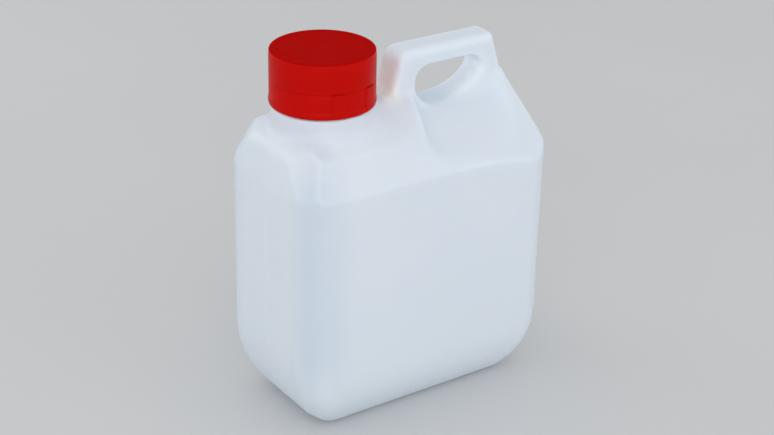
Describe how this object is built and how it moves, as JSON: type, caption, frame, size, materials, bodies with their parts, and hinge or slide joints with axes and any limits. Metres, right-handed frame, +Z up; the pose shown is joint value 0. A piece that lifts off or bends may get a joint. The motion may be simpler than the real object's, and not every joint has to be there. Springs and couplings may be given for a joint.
{
  "type": "small plastic jerrycan",
  "caption": "Small blow-moulded plastic jerrycan with a grip handle over finger scoops, a tapered base and a red screw cap with a tamper ring.",
  "frame": {"origin": "middle of the base, on the surface that the can stands on", "axes": "+X from the neck towards the handle, along the long side; +Y to the back; +Z up, along the neck"},
  "size_m": [0.136, 0.072, 0.1756],
  "materials": {
    "can_plastic": "natural milky polyethylene, satin",
    "cap_plastic": "red, smooth with a soft gloss",
    "wad_foam": "white foamed liner, matt"
  },
  "bodies": {
    "can": {"can_body": "can_plastic", "tamper_ring": "cap_plastic"},
    "wad": {"sealing_wad": "wad_foam"},
    "cap": {"screw_cap": "cap_plastic"}
  },
  "joints": [
    {"name": "cap_lift", "type": "slide", "parent": "can", "child": "wad", "axis": [0, 0, 1], "range_m": [0, 0.01101]},
    {"name": "cap_turn", "type": "hinge", "parent": "wad", "child": "cap", "pos_m": [-0.0375, 0, 0.16], "axis": [0, 0, 1], "range_deg": [0, 990]}
  ],
  "couplings": [
    {"joint": "cap_lift", "follows": "cap_turn", "m_per_rad": 0.00063662}
  ]
}
